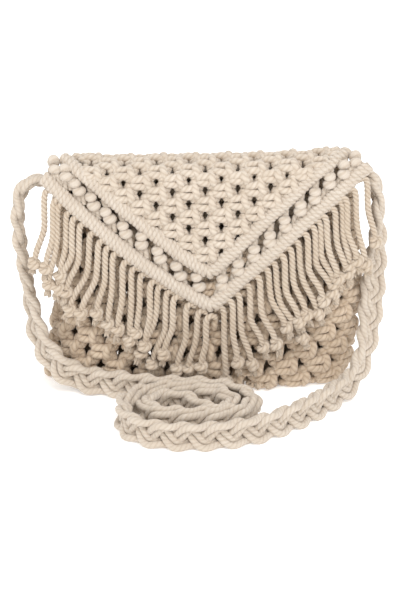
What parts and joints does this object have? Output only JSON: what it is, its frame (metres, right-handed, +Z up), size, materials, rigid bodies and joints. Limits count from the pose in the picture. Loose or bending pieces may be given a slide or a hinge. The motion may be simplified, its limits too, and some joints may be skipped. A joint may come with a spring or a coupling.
{
  "type": "macrame shoulder bag",
  "caption": "Envelope bag of knotted cotton rope: open net pouch, V flap with rope rolls, berry knots and knotted rope fringe, long plaited strap.",
  "frame": {"origin": "on the flat underside of the pouch, below the middle of its mouth", "axes": "+X to the right of the bag seen from its front, +Y to the back, +Z up; the flap and the fringe face -Y"},
  "size_m": [0.2634, 0.161, 0.1718],
  "materials": {
    "net_cotton": "natural cotton rope, matt, square knots",
    "border_cotton": "natural cotton rope, matt, tightly wrapped",
    "fringe_cotton": "natural three-strand cotton rope, matt",
    "strap_cotton": "natural cotton rope, matt, plaited flat"
  },
  "bodies": {
    "root": {"pouch": "net_cotton", "flap": "net_cotton", "inner_border": "border_cotton", "outer_border": "border_cotton", "berry_knots_left": "border_cotton", "berry_knots_right": "border_cotton", "fringe_left": "fringe_cotton", "fringe_right": "fringe_cotton", "strap": "strap_cotton"}
  },
  "joints": []
}
